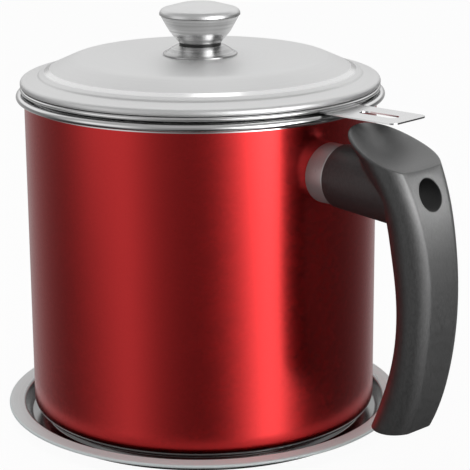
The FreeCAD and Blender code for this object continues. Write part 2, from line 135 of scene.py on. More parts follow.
# %% A material's or the world's nodes
class Graph:
    """The nodes of one material, or of the world."""

    def __init__(self, owner):
        owner.use_nodes = True
        self.tree = owner.node_tree
        self.tree.nodes.clear()

    def node(self, kind, settings=None, sockets=None):
        """Adds a node: its settings first, then the values or links of its sockets."""
        made = self.tree.nodes.new(kind)
        for name, value in (settings or {}).items():
            if name == "stops":
                self.set_stops(made.color_ramp, value)
            else:
                setattr(made, name, value)
        for name, value in (sockets or {}).items():
            if isinstance(value, Number):
                value = value.socket
            if isinstance(value, bpy.types.NodeSocket):
                self.tree.links.new(value, made.inputs[name])
            else:
                made.inputs[name].default_value = value
        return made

    def set_stops(self, ramp, stops):
        """Gives a colour ramp its stops, each a position and a grey level."""
        while len(ramp.elements) < len(stops):
            ramp.elements.new(1)
        for element, (position, level) in zip(ramp.elements, stops):
            element.position = position
            element.color = (level, level, level, 1)

    def number(self, made, output=0):
        """One output of a node, ready for sums."""
        return Number(self, made.outputs[output])

    def parts(self, vector):
        """The three numbers of a vector."""
        made = self.node("ShaderNodeSeparateXYZ", None, {0: vector})
        return [self.number(made, index) for index in range(3)]

    def place(self):
        """Where on the piece this is, in the object's own frame."""
        return self.parts(self.node("ShaderNodeTexCoord").outputs["Object"])

    def step(self, value, low, high):
        """A soft step from 0 at the low end to 1 at the high end."""
        spans = {"Value": value, "From Min": low, "From Max": high}
        made = self.node("ShaderNodeMapRange", {"interpolation_type": "SMOOTHSTEP"}, spans)
        return self.number(made)

    def mix(self, share, first, second):
        """A colour between two colours. A Mix node takes colours at sockets 6 and 7."""
        settings = {"data_type": "RGBA"}
        return self.node("ShaderNodeMix", settings, {0: share, 6: first, 7: second}).outputs[2]

    def noise(self, scale, detail=2.0, vector=None):
        """Noise from 0 to 1, whose grains get smaller as the scale grows."""
        sockets = {"Scale": scale, "Detail": detail}
        if vector is not None:
            sockets["Vector"] = vector
        return self.number(self.node("ShaderNodeTexNoise", None, sockets))

    def bump(self, height, strength, distance):
        """A normal that is tilted as if the surface had this height."""
        sockets = {"Strength": strength, "Distance": distance, "Height": height}
        return self.node("ShaderNodeBump", None, sockets).outputs[0]

    def surface(self, sockets):
        """The material's one shader, from the values of its sockets."""
        made = self.node("ShaderNodeBsdfPrincipled", None, sockets)
        self.node("ShaderNodeOutputMaterial", None, {"Surface": made.outputs[0]})


print("graphs add and link their nodes")

# %% [markdown]
# A few sums come back in many finishes: how far a place is from an axis, its angle
# round that axis, and a level that a noise moves up and down.

# %% Sums that come back
NOISE_MIDDLE = 0.5


def from_axis(x, y):
    """How far a place is from an axis, by its two numbers across that axis."""
    return x.sum("SQRT", x * x + y * y)


def round_axis(x, y):
    """The angle of a place round an axis, in radians."""
    return x.sum("ARCTAN2", y, x)


def varied(level, noise, spread):
    """A level that a noise moves up and down within a spread."""
    return level + (noise - NOISE_MIDDLE) * spread


def grey(level):
    """A grey as a colour socket takes it."""
    return (level, level, level, 1)


def new_finish(name):
    """A new material and its empty graph."""
    material = bpy.data.materials.new(name)
    return material, Graph(material)


print("shader helpers ready, noise runs about", NOISE_MIDDLE)

# %% [markdown]
# ## The studio
#
# Polished metal shows the room more than itself. The room is a white sweep behind
# the pot and a darker studio in front of it, with a tall bright strip of light to
# the right of the camera and a weaker one to the left. Soft boxes and black card
# could be modelled for it, but a list of levels in the world's shader is quicker to
# tune and costs no render time. Each row gives an angle round the pot from the
# camera and how bright the room is there, low down and higher up.

# %% The room: angle, level low down, level higher up
ROOM = [
    (-180, 0.52, 0.54), (-150, 0.36, 0.38), (-135, 0.27, 0.28), (-118, 0.18, 0.21),
    (-102, 0.13, 0.23), (-88, 0.18, 0.50), (-74, 0.32, 1.00), (-62, 0.53, 0.95),
    (-50, 0.74, 0.86), (-40, 0.54, 0.56), (-29, 0.31, 0.33), (-15, 0.18, 0.28),
    (-2, 0.12, 0.26), (8, 0.13, 0.40), (16, 0.24, 1.10), (25, 0.58, 2.30),
    (33, 1.35, 3.60), (42, 2.25, 4.80), (52, 2.20, 4.80), (57, 1.10, 4.40),
    (62, 0.34, 3.00), (67, 0.12, 0.60), (73, 0.07, 0.08), (84, 0.06, 0.06),
    (100, 0.07, 0.08), (118, 0.09, 0.12), (132, 0.14, 0.16), (143, 0.22, 0.22),
    (160, 0.42, 0.44), (180, 0.52, 0.54),
]
ROOM_PEAK = 4.8
print(len(ROOM), "levels round the pot, up to", ROOM_PEAK)

# %% [markdown]
# The world is looked up by a direction, whose third number is its height: -1 is
# straight down, 0 is level and 1 is straight up. Each row of levels becomes a
# colour ramp round the pot. High up the strips end in a grey ceiling, and far down
# they sink into the dark of the table.

# %% Strips of light
LOW_LEVELS_END = -0.305
HIGH_LEVELS_START = -0.225
TABLE_EDGE = -0.53
TABLE_BLUR = 0.08
TABLE_SHADE = 0.25
STRIPS_END = 0.45
STRIPS_BLUR = 0.15
CEILING = 0.44


def levels_round(graph, turn, column):
    """One column of the room's levels, where the turn is a share of the circle."""
    stops = [((row[0] + 180) / 360, row[column] / ROOM_PEAK) for row in ROOM]
    return graph.number(graph.node("ShaderNodeValToRGB", {"stops": stops}, {0: turn}))


def strips_of_light(graph, turn, height):
    """The room's levels at an angle, faded from the low ones to the higher ones."""
    low = levels_round(graph, turn, 1)
    high = levels_round(graph, turn, 2)
    rise = graph.step(height, LOW_LEVELS_END, HIGH_LEVELS_START)
    strips = (low + rise * (high - low)) * ROOM_PEAK
    over_table = height.above(TABLE_EDGE, TABLE_BLUR)
    strips = strips * (TABLE_SHADE + over_table * (1 - TABLE_SHADE))
    return strips + height.above(STRIPS_END, STRIPS_BLUR) * (CEILING - strips)


print("strips end at height", STRIPS_END, "and sink in the table's dark at", TABLE_EDGE)

# %% [markdown]
# The sweep is a white sheet that hangs from the ceiling behind the pot and curves
# forward on the table. The lid faces it and is lit from edge to edge, while the
# knob's foot faces the darker ceiling. One number says how far a direction points
# away from the camera, and the sheet's levels follow it.

# %% White sweep
SWEEP_HIGH = 0.93
SWEEP_LOW = 0.96
CEILING_ENDS = 0.28
SHEET_STARTS = 0.52
LOW_PART_STARTS = 0.60
LOW_PART_FULL = 0.95
SHEET_FOOT = 0.16
FOOT_BLUR = 0.08
SHEET_SIDE_ENDS = -0.25
SHEET_SIDE_FULL = 0.1


def white_sweep(graph, away, height):
    """The sweep's level in a direction, and how much of the sweep there is."""
    sheet = graph.step(away, CEILING_ENDS, SHEET_STARTS) * (SWEEP_HIGH - CEILING)
    low_part = graph.step(away, LOW_PART_STARTS, LOW_PART_FULL) * (SWEEP_LOW - SWEEP_HIGH)
    level = CEILING + sheet + low_part
    sides = graph.step(away, SHEET_SIDE_ENDS, SHEET_SIDE_FULL)
    return level, height.above(SHEET_FOOT, FOOT_BLUR) * sides


print("sweep from", SWEEP_HIGH, "up high to", SWEEP_LOW, "low down")

# %% [markdown]
# A small window with one bar, high over the far side, puts the one sharp light on
# the lid's polished band. It could be a lamp, but a lamp would light the matt
# surfaces too, and this is only a reflection.

# %% Window
WINDOW_LIGHT = 1.2
WINDOW_MIDDLE = 0.054
WINDOW_HALF = 0.080
FRAME_BLUR = 0.006
BAR_HALF = 0.006
BAR_BLUR = 0.002
WINDOW_SILL = 0.83
WINDOW_TOP = 0.935
SILL_BLUR = 0.01
WINDOW_FRONT = 0.38
FRONT_BLUR = 0.03


def window(away, across, height):
    """The light of the window in a direction, with its upright bar left dark."""
    between_sides = 1 - abs(across - WINDOW_MIDDLE).above(WINDOW_HALF, FRAME_BLUR)
    panes = between_sides * abs(across).above(BAR_HALF, BAR_BLUR)
    below_top = 1 - height.above(WINDOW_TOP, SILL_BLUR)
    panes = panes * height.above(WINDOW_SILL, SILL_BLUR) * below_top
    return panes * away.above(WINDOW_FRONT, FRONT_BLUR) * WINDOW_LIGHT


print("window from height", WINDOW_SILL, "to", WINDOW_TOP)

# %% [markdown]
# Only reflections see the strips, the sweep and the window. The camera sees plain
# white behind the pot, and matt surfaces get one even level. Light Path tells the
# three kinds of ray apart.

# %% World
MATT_LIGHT = 0.50


def build_world():
    """White for the camera, an even level for matt surfaces and the room for shine."""
    world = bpy.data.worlds.new("studio")
    bpy.context.scene.world = world
    graph = Graph(world)
    x, y, z = graph.parts(graph.node("ShaderNodeTexCoord").outputs["Generated"])
    round_the_pot = round_axis(x, y) * (180 / math.pi) - (CAMERA_AZIMUTH - 180)
    turn = round_the_pot / 360
    strips = strips_of_light(graph, turn.sum("FRACT", turn), z)
    facing = math.radians(CAMERA_AZIMUTH)
    away = x * -math.cos(facing) + y * -math.sin(facing)
    across = x * -math.sin(facing) + y * math.cos(facing)
    sweep, share = white_sweep(graph, away, z)
    sweep = sweep + window(away, across, z)
    reflected = strips + share * (sweep - strips)
    rays = graph.node("ShaderNodeLightPath")
    camera_ray = graph.number(rays, "Is Camera Ray")
    shiny = graph.number(rays, "Is Glossy Ray").larger(graph.number(rays, "Is Transmission Ray"))
    level = MATT_LIGHT + camera_ray * (1 - MATT_LIGHT) + shiny * (reflected - MATT_LIGHT)
    colour = graph.node("ShaderNodeCombineColor", None, {0: level, 1: level, 2: level})
    background = graph.node("ShaderNodeBackground", None, {"Color": colour.outputs[0]})
    graph.node("ShaderNodeOutputWorld", None, {"Surface": background.outputs[0]})


build_world()
print("studio built, matt surfaces get", MATT_LIGHT)

# %% [markdown]
# ## The floor
#
# The floor is a large pale sheet. A plain white one would end in a grey line
# against the white behind it. So it is mostly its own white, which meets the
# background without an edge, and the rest is a matt surface that takes the soft
# shadow under the tray. Reflections pass through it to the room, which keeps the
# bands on the pot upright as in a tall studio tent.

# %% Floor
FLOOR_RADIUS = 3
FLOOR_DROP = 0.2 * MM
FLOOR_GREY = 0.9
FLOOR_OWN_WHITE = 0.95


def build_floor():
    """A disc just under the tray, part white light and part matt surface."""
    bm = bmesh.new()
    bmesh.ops.create_circle(bm, cap_ends=True, segments=64, radius=FLOOR_RADIUS)
    mesh = bpy.data.meshes.new("floor")
    bm.to_mesh(mesh)
    bm.free()
    floor = bpy.data.objects.new("floor", mesh)
    floor.location.z = -FLOOR_DROP
    bpy.context.scene.collection.objects.link(floor)
    floor.visible_glossy = False
    material, graph = new_finish("pale_floor")
    matt = graph.node("ShaderNodeBsdfDiffuse", None, {"Color": grey(FLOOR_GREY)})
    white = graph.node("ShaderNodeEmission", None, {"Color": grey(1), "Strength": 1})
    seen = graph.number(graph.node("ShaderNodeLightPath"), "Is Camera Ray") * FLOOR_OWN_WHITE
    sockets = {0: seen, 1: matt.outputs[0], 2: white.outputs[0]}
    both = graph.node("ShaderNodeMixShader", None, sockets)
    graph.node("ShaderNodeOutputMaterial", None, {"Surface": both.outputs[0]})
    mesh.materials.append(material)


build_floor()
print("floor laid,", FLOOR_RADIUS * 2, "m across")

# %% [markdown]
# ## Lamps
#
# A matt black handle only shows its shape by its sheen, so three soft lamps stand
# where its faces mirror them. One low lamp on the right serves its outer side, a
# tall one nearer to the camera its ridge, and a wide weak one, high behind the pot,
# its thumb rest. A fourth lamp overhead lights what is matt, and reflections don't
# see it. One big light would be simpler, but it would leave the handle flat.

# %% Lamps: azimuth, elevation, width, height, brightness, aim, seen in reflections
LID_MIDDLE = (0, 0, 0.15)
HANDLE_TOP = (0.115, 0, 0.11)
LAMPS = {
    "lamp_behind_right": (45, 15, 0.26, 0.18, 25, HANDLE_TOP, True),
    "tall_lamp_right": (-5, 22, 0.18, 0.30, 46, HANDLE_TOP, True),
    "lamp_over_thumb_rest": (116, 43, 0.80, 0.80, 0.85, HANDLE_TOP, True),
    "lamp_overhead": (-80, 76, 0.50, 0.50, 3, LID_MIDDLE, False),
}
LAMP_DISTANCE = 0.85


def build_lamp(name, azimuth, elevation, width, height, brightness, aim, mirrored):
    """A soft box at a distance from what it lights, with its brightness per area."""
    turn, rise = math.radians(azimuth), math.radians(elevation)
    level, up = math.cos(rise), math.sin(rise)
    way = Vector((level * math.cos(turn), level * math.sin(turn), up))
    data = bpy.data.lights.new(name, "AREA")
    data.shape = "RECTANGLE"
    data.size = width
    data.size_y = height
    data.energy = brightness * math.pi * width * height
    lamp = bpy.data.objects.new(name, data)
    bpy.context.scene.collection.objects.link(lamp)
    lamp.visible_glossy = mirrored
    place = Matrix.Translation(Vector(aim) + way * LAMP_DISTANCE)
    lamp.matrix_world = place @ way.to_track_quat("Z", "Y").to_matrix().to_4x4()
    print(name, round(data.energy, 2), "watts")


for name, numbers in LAMPS.items():
    build_lamp(name, *numbers)

# %% [markdown]
# ## Steel finishes
#
# Stainless steel is one metal with many finishes. The spinning and polishing
# wheels leave rings round the pot's axis. An image of scratches could be wrapped
# round each piece, but a noise needs no unwrapping: it is looked up at a place's
# radius and height and hardly at its angle, so every grain is drawn out into a
# ring. The rings change how sharply the metal reflects and how grey it is, and a
# faint bump catches the light.

# %% Rings round an axis
HANDLE_HEIGHT = 111.0 * MM
ALONG_THE_RING = 0.02
FINE_RINGS = 2600
BROAD_RINGS = 800
RING_BUMP = 0.12
RING_DEPTH = 0.01 * MM


def ring_noise(graph, axis, fineness):
    """Noise that runs in rings round the pot's axis or round the handle's."""
    x, y, z = graph.place()
    if axis == "handle":
        x, y, z = y, z - HANDLE_HEIGHT, x
    along = x * ALONG_THE_RING + y * ALONG_THE_RING
    vector = graph.node("ShaderNodeCombineXYZ", None, {0: from_axis(x, y), 1: z, 2: along})
    return graph.noise(fineness, 3.0, vector.outputs[0])


print("rings about", round(1 / FINE_RINGS / MM, 2), "mm wide, or", round(1 / BROAD_RINGS / MM, 2))

# %% [markdown]
# One function makes all the plain steels. Its rows below run from the bright sheet
# pieces to the knob, whose cone and foot were turned on a lathe and have broad,
# strong rings, and on to its satin cap and the dull zinc of the screws. The foot's
# steel is a darker grey than the cone's, a painted shade under the cone.

# %% One steel, many finishes
WIPED_SPOTS = 30
WIPED_SHARE = 0.15


def steel(name, level, roughness, rings, axis="pot", metal=1.0, fineness=FINE_RINGS, contrast=0.06):
    """Steel with a grey level, a roughness and how much the rings change them."""
    material, graph = new_finish(name)
    fine = ring_noise(graph, axis, fineness)
    broad = graph.noise(WIPED_SPOTS, 3.0)
    ringed = varied(roughness, fine, rings)
    graph.surface({
        "Base Color": graph.mix(fine, grey(level * (1 - contrast)), grey(level * (1 + contrast))),
        "Metallic": metal, "Roughness": varied(ringed, broad, roughness * WIPED_SHARE),
        "Normal": graph.bump(fine, RING_BUMP, RING_DEPTH),
    })
    return material


bright_steel = steel("bright_steel", 0.76, 0.17, 0.08)
polished_steel = steel(
    "polished_steel", 0.74, 0.20, 0.40, metal=0.88, fineness=BROAD_RINGS, contrast=0.7
)
# the knob's foot gets a darker grey than the cone, a painted shade under the cone
shaded_foot_steel = steel("shaded_foot_steel", 0.48, 0.22, 0.36, fineness=BROAD_RINGS, contrast=0.6)
cap_steel = steel("cap_steel", 0.78, 0.42, 0.10)
zinc_steel = steel("zinc_steel", 0.60, 0.34, 0.06)
print("bright, polished, foot, cap and zinc plated steel made")

# %% [markdown]
# The handle's collar is duller than the rest, as it comes from the press without a
# polish. The tray has two finishes: its flange is rubbed matt all round, so it
# scatters light to all sides, and its pressed gutter and seat are still smooth. The
# gutter and seat are also painted dark grey, a painted shade under the pot. Two
# materials on two sets of faces would need an edge just there, so one material
# changes at a radius instead.

# %% Collar and tray
collar_steel = steel("collar_steel", 0.40, 0.30, 0.10, axis="handle", metal=0.6)
FLANGE_INNER = 74.6 * MM
FLANGE_BLUR = 0.3 * MM
RUBBED_DARK = (0.62, 0.68, 0.68, 1)
RUBBED_LIGHT = (0.76, 0.83, 0.83, 1)


def pressed_tray():
    """Smooth steel inside, painted dark grey as shade under the pot, and a rubbed flange, which is
    hardly a mirror.
    """
    material, graph = new_finish("tray_steel")
    x, y, _ = graph.place()
    fine = ring_noise(graph, "pot", FINE_RINGS)
    flange = from_axis(x, y).above(FLANGE_INNER, FLANGE_BLUR)
    # the gutter and seat get a dark grey steel, a painted shade under the pot
    smooth = graph.mix(fine, grey(0.22), grey(0.28))
    rubbed = graph.mix(fine, RUBBED_DARK, RUBBED_LIGHT)
    graph.surface({
        "Base Color": graph.mix(flange, smooth, rubbed), "Metallic": 1 - flange * 0.8,
        "Roughness": varied(0.20 + flange * 0.30, fine, 0.10),
        "Normal": graph.bump(fine, RING_BUMP, RING_DEPTH),
    })
    return material


tray_steel = pressed_tray()
print("collar and tray steel made, flange from", FLANGE_INNER)

# %% [markdown]
# The lid is satin all over, but the buffing wheel presses hardest low on the slope,
# just above the step, and leaves a narrow polished band there. The band is a mask
# between two radii, and it only lowers the roughness.

# %% Satin lid with its buffed band
BAND_INNER = 59.6 * MM
BAND_OUTER = 61.9 * MM
BAND_BLUR = 0.3 * MM
SATIN_ROUGHNESS = 0.48
BUFFED_AWAY = 0.33
SATIN_BUMP = 0.10


def satin_lid():
    """Satin steel that is polished in one band."""
    material, graph = new_finish("satin_steel")
    x, y, _ = graph.place()
    radius = from_axis(x, y)
    fine = ring_noise(graph, "pot", FINE_RINGS)
    buffed = radius.above(BAND_INNER, BAND_BLUR) * (1 - radius.above(BAND_OUTER, BAND_BLUR))
    graph.surface({
        "Base Color": graph.mix(fine, grey(0.75), grey(0.82)), "Metallic": 0.9,
        "Roughness": varied(SATIN_ROUGHNESS, fine, 0.08) - buffed * BUFFED_AWAY,
        "Normal": graph.bump(fine, SATIN_BUMP, RING_DEPTH),
    })
    return material


satin_steel = satin_lid()
print("satin steel made, buffed from", BAND_INNER, "to", BAND_OUTER)

# %% [markdown]
# ## The red lacquer
#
# The pot is steel all through. Its outside wears a see-through red lacquer that
# stops just under the rolled rim. The metal still shines through it, so the wall is
# a red metal in the shader and not a red paint, and a rough coat over it adds the
# lacquer's own soft gloss. The edge of the lacquer is a height and a radius in the
# piece's own coordinates, so it is as sharp as masking tape leaves it, wherever the
# mesh has its edges.

# %% Where the lacquer is
LACQUER_EDGE = 130.2 * MM
TAPE_BLUR = 0.08 * MM
WALL_MIDDLE = 69.6 * MM
WALL_BLUR = 0.02 * MM
UNDER_CORNER = 3.7 * MM
CORNER_BLUR = 0.3 * MM


def lacquer_mask(graph):
    """1 on the outside below the rim, 0 on the bare rim and inside."""
    x, y, z = graph.place()
    outside = from_axis(x, y).above(WALL_MIDDLE, WALL_BLUR)
    underneath = 1 - z.above(UNDER_CORNER, CORNER_BLUR)
    return outside.larger(underneath) * (1 - z.above(LACQUER_EDGE, TAPE_BLUR))


print("lacquer stops at", LACQUER_EDGE)

# %% [markdown]
# The lacquer's red comes from fine metal flakes that lie at all angles. Up close
# each is a little lighter or darker, and from afar they only soften the mirror.

# %% Lacquer outside, bare steel inside and on the rim
FLAKES = 5000
CLOUDS = 18
RED_DARK = (0.53, 0.010, 0.011, 1)
RED_LIGHT = (0.67, 0.019, 0.020, 1)
LACQUER_COAT = 0.55
LACQUER_THICKNESS = 0.02 * MM


def lacquered_steel():
    """Bare steel where the mask is 0 and red lacquer where it is 1."""
    material, graph = new_finish("red_lacquer")
    lacquer = lacquer_mask(graph)
    fine = ring_noise(graph, "pot", FINE_RINGS)
    flake = graph.noise(FLAKES, 2.0)
    cloud = graph.noise(CLOUDS, 2.0)
    red = graph.mix(flake, RED_DARK, RED_LIGHT)
    bare = graph.mix(fine, grey(0.70), grey(0.80))
    bare_roughness = varied(0.15, fine, 0.05)
    lacquer_roughness = varied(varied(0.27, flake, 0.05), cloud, 0.05)
    graph.surface({
        "Base Color": graph.mix(lacquer, bare, red), "Metallic": 1.0,
        "Roughness": bare_roughness + lacquer * (lacquer_roughness - bare_roughness),
        "Coat Weight": lacquer * LACQUER_COAT, "Coat Roughness": 0.24,
        "Normal": graph.bump(lacquer + flake * 0.3, 0.1, LACQUER_THICKNESS),
    })
    return material


red_lacquer = lacquered_steel()
print("red lacquer made, coat", LACQUER_COAT)

# %% [markdown]
# ## The black moulding
#
# The handle comes out of a mould with a fine spark-eroded grain. It is nearly
# black and has only a soft sheen. Modelled grain would take millions of faces, so
# a noise bumps the surface instead. Small paler specks of the plastic's filler and
# a little kitchen dust show in it. Down in the screw's hole they are left out, and
# the plastic is painted almost pure black there, a painted shade.

# %% Moulded black
HOLE_RADIUS = 5.7 * MM
HOLE_START = 97.0 * MM
GRAIN = 2400
GRAIN_DEPTH = 0.06 * MM
SPECKS = 1100
SPECK_SIZE = 0.68
DUST = 70


def moulded_black():
    """Black plastic with grain, specks and dust, and painted shade in the screw's hole."""
    material, graph = new_finish("black_moulding")
    x, y, z = graph.place()
    within_hole = 1 - from_axis(y, z - HANDLE_HEIGHT).above(HOLE_RADIUS, 0.1 * MM)
    hole = within_hole * x.above(HOLE_START, 0.5 * MM)
    grain = graph.noise(GRAIN, 3.0)
    specks = graph.noise(SPECKS, 1.0).above(SPECK_SIZE, 0.05)
    cloud = graph.noise(DUST, 4.0)
    base = graph.mix(cloud.above(0.5, 0.2), grey(0.014), grey(0.028))
    outside = graph.mix(specks * 0.4, base, grey(0.11))
    graph.surface({
        # in the screw's hole the colour is almost pure black, a painted shade
        "Base Color": graph.mix(hole, outside, grey(0.003)), "IOR": 1.56,
        "Roughness": varied(varied(0.43, grain, 0.20), cloud, 0.12) + hole * 0.4,
        "Normal": graph.bump(grain, 0.30, GRAIN_DEPTH),
    })
    return material


black_moulding = moulded_black()
print("black moulding made, plain in the hole past", HOLE_START)

# %% [markdown]
# The ring at the knob's waist is near black. It gets a finish of its own with a
# little more shine and no grain.

# %% Black ring
def black_ring_finish():
    """Smooth black with a faint cloud in its shine."""
    material, graph = new_finish("black_ring")
    grain = graph.noise(3000, 2.0)
    tone = graph.mix(grain, grey(0.010), grey(0.020))
    graph.surface({"Base Color": tone, "Roughness": 0.4 + grain * 0.1})
    return material


black_ring = black_ring_finish()
print("black ring made")

# %% [markdown]
# ## Woven wire
#
# The strainer's dish is far too fine to model wire by wire. Two crossing sets of
# round wires are drawn as height and as holes instead: the holes go through the
# Alpha socket and the wires' roundness through a bump. The wires are also painted
# darker where they fall away to their sides, a painted shade between them. On the
# dish's floor the wires follow x and y, and on its wall they run round and up.

# %% One set of wires
WIRE_PITCH = 1.0 * MM
WIRE_FALL = 1.7


def wire_height(across):
    """1 along the middle of each wire, falling off to both its sides."""
    phase = across / WIRE_PITCH
    from_middle = phase.sum("PINGPONG", phase, 0.5) * 2
    return 1 - from_middle * WIRE_FALL


print("wires every", WIRE_PITCH)

# %% Wire cloth
DISH_CORNER = 112.5 * MM
DISH_RADIUS = 67.5 * MM
GAP_LEVEL = 0.12
GAP_ALPHA = 0.1
WIRE_ROUNDNESS = 0.2 * MM


def wire_cloth():
    """Two sets of wires, the higher one on top, painted darker as shade where they fall away, and
    holes between them.
    """
    material, graph = new_finish("woven_steel")
    x, y, z = graph.place()
    on_wall = z.above(DISH_CORNER, 0.05 * MM)
    round_wall = round_axis(x, y) * DISH_RADIUS
    warp = wire_height(x + on_wall * (round_wall - x))
    weft = wire_height(y + on_wall * (z - y))
    height = warp.larger(weft)
    solid = height.above(GAP_LEVEL, 0.05)
    graph.surface({
        # the colour darkens as the wires fall away, a painted shade between the wires
        "Base Color": graph.mix(height, grey(0.30), grey(0.74)), "Metallic": 1.0,
        "Roughness": 0.3, "Alpha": GAP_ALPHA + solid * (1 - GAP_ALPHA),
        "Normal": graph.bump(height, 0.8, WIRE_ROUNDNESS),
    })
    return material


woven_steel = wire_cloth()
print("wire cloth made, its wall starts at", DISH_CORNER)

# %% [markdown]
# ## Spinning sheet metal
#
# Every metal dish here is one sheet, bent at its edges and round about one axis. A
# cylinder could be pushed and pulled into each, but its bends would be guesses. So
# the sheet's middle line is drawn from one vertex: a straight run extrudes it, and
# a bend spins it about the bend's centre. A full spin turns the line into a shell
# and Solidify gives the shell its gauge. The moves are the same as the press
# tool's: run so far, bend with this radius through this many degrees, where a
# positive bend turns from outwards to upwards.

# %% The middle line
DEGREES_A_STEP = 9
OUTWARDS = 0
UPWARDS = 90


def direction(degrees):
    """A way in the line's plane, from 0 for outwards to 90 for upwards."""
    angle = math.radians(degrees)
    return Vector((math.cos(angle), 0, math.sin(angle)))


def draw_line(bm, start, heading, moves):
    """Draws a sheet's middle line with runs and bends, in millimetres and degrees."""
    tip = bm.verts.new((start[0] * MM, 0, start[1] * MM))
    for move in moves:
        if isinstance(move, tuple):
            radius, turn = move
            centre = tip.co + direction(heading + math.copysign(90, turn)) * radius * MM
            steps = max(2, round(abs(turn) / DEGREES_A_STEP))
            bent = bmesh.ops.spin(
                bm, geom=[tip], cent=centre, axis=(0, -1, 0), angle=math.radians(turn), steps=steps
            )
            tip = bent["geom_last"][0]
            heading += turn
        else:
            tip = bmesh.ops.extrude_vert_indiv(bm, verts=[tip])["verts"][0]
            bmesh.ops.translate(bm, verts=[tip], vec=direction(heading) * move * MM)


print("bends are drawn every", DEGREES_A_STEP, "degrees")

# %% [markdown]
# A full spin leaves the first and the last line on top of each other, and every
# point on the axis many times over. Merging them closes the seam and the poles.
# After that the normals are worked out again, because a spin can turn a shell
# inside out, and Solidify would then grow the wrong way.

# %% The spin
POT_AXIS = (0, 0, 1)
HANDLE_AXIS = (1, 0, 0)
SEAM = 0.0005 * MM


def spun_about(bm, axis, steps):
    """Spins all there is once about an axis through the origin and closes the seams."""
    line = bm.verts[:] + bm.edges[:]
    bmesh.ops.spin(
        bm, geom=line, cent=(0, 0, 0), axis=axis, angle=math.tau, steps=steps, use_merge=True
    )
    bmesh.ops.remove_doubles(bm, verts=bm.verts, dist=SEAM)
    bmesh.ops.recalc_face_normals(bm, faces=bm.faces)


def spun_sheet(start, heading, moves, steps=160):
    """A shell: the middle line spun once about the pot's axis."""
    bm = bmesh.new()
    draw_line(bm, start, heading, moves)
    spun_about(bm, POT_AXIS, steps)
    return bm


print("seams close within", SEAM)

# %% [markdown]
# Each shell then gets its gauge, to both sides of the middle line. The modifier is
# made part of the mesh at once, so that only the real bends stay smooth and the
# cut edges get sharp. Every piece rides on its body, gets its material and takes
# the place of its CAD piece.

# %% The gauge, the finish and the body it rides on
SMOOTH_UP_TO = math.radians(38)


def bake_modifiers(piece):
    """Turns what the modifiers show into the piece's own mesh."""
    graph = bpy.context.evaluated_depsgraph_get()
    mesh = bpy.data.meshes.new_from_object(piece.evaluated_get(graph))
    mesh.name = piece.name
    piece.modifiers.clear()
    piece.data = mesh


def finished(name, bm, material, body, replaced, gauge=0.0):
    """Makes the piece, gives it its gauge and finish and lets it ride on its body."""
    mesh = bpy.data.meshes.new(name)
    bm.to_mesh(mesh)
    bm.free()
    piece = bpy.data.objects.new(name, mesh)
    bpy.context.scene.collection.objects.link(piece)
    if gauge:
        shell = piece.modifiers.new("gauge", "SOLIDIFY")
        shell.thickness = gauge * MM
        shell.offset = 0
        shell.use_even_offset = True
        bake_modifiers(piece)
    piece.data.shade_smooth()
    piece.data.set_sharp_from_angle(angle=SMOOTH_UP_TO)
    piece.data.materials.clear()
    piece.data.materials.append(material)
    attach(piece, body)
    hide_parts(replaced)
    print(name, len(piece.data.polygons), "faces")


print("pieces are smooth up to", round(math.degrees(SMOOTH_UP_TO)), "degrees")

# %% [markdown]
# ## Drip tray
#
# The tray is pressed from one disc: a raised seat for the pot, a gutter that also
# is the foot, a steep wall and a flat flange whose edge is folded under. The fold
# could be left out, as it is hardly seen, but it gives the edge its round shine.

# %% Drip tray
tray_moves = [
    63.0, (1.2, -60), 1.617, (1.2, 60),    # the seat and the step down from it
    4.853, (1.2, 62), 4.561, (1.2, -62),   # the gutter and its outer wall
    4.85, (0.35, -180), 1.6,               # the flange and its fold
]
tray = spun_sheet((0, 2.9), OUTWARDS, tray_moves)
finished("tray_sheet", tray, tray_steel, "tray", "drip_tray", gauge=0.6)

# %% [markdown]
# ## Pot
#
# The pot is deep-drawn: a flat floor, a rounded corner, a plain wall and a rim
# rolled outwards and down, so that no cut edge meets a hand. Its wall is the widest
# mirror of all, so it is spun in more steps than the rest.

# %% Pot
pot_moves = [
    65.0, (4.65, 90), 123.6,               # the floor, the corner and the wall
    (1.65, -90), 0.55, (1.0, -200),        # the rolled rim
]
pot = spun_sheet((0, 3.55), OUTWARDS, pot_moves, steps=200)
finished("pot_body", pot, red_lacquer, "pot", "pot_shell", gauge=0.7)

# %% [markdown]
# ## Strainer
#
# A ring hangs in the pot's mouth, steps out over the rim and ends in a small
# rolled bead. It holds the wire dish with a clamp band inside. The three are spun
# one by one, since they are three sheets on the real strainer too.

# %% Ring
rim_moves = [
    9.42, (0.8, -75), 0.325, (0.8, 75),    # the wall in the mouth and the step
    0.4, (0.6, -250),                      # the bead
]
rim = spun_sheet((68.55, 124.0), UPWARDS, rim_moves)
finished("strainer_ring", rim, bright_steel, "strainer", "strainer_rim", gauge=0.5)

# %% Dish and band
dish = spun_sheet((0, 106.2), OUTWARDS, [56.659, (9.0, 78), 11.426, (12.0, 12), 4.0])
finished("strainer_dish", dish, woven_steel, "strainer", "strainer_mesh", gauge=0.4)
band = spun_sheet((67.65, 127.0), UPWARDS, [4.0])
finished(
    "strainer_clamp", band, bright_steel, "strainer", "strainer_band", gauge=0.5
)

# %% [markdown]
# The flat tab welded to the bead is for lifting. It is cut from strip with two
# rounded corners and a slot for a finger or a hook. A Boolean could cut the slot,
# but it leaves long thin faces. Here two rectangles whose corners are bevelled give
# the outline and the slot, and filling between them makes the plate.

# %% Lifting tab: its sizes
TAB_INNER, TAB_END, TAB_HALF = 69.9, 104.6, 10.2
SLOT_START, SLOT_END, SLOT_HALF = 81.5, 98.5, 2.5
TAB_CORNER = 3.0
SLOT_CORNER = SLOT_HALF - 0.01
TAB_MIDDLE = 134.7
TAB_TURN = 3.75
MERGED = 0.001 * MM
print("tab", round(TAB_END - TAB_INNER, 1), "by", TAB_HALF * 2, "mm, turned", TAB_TURN, "degrees")


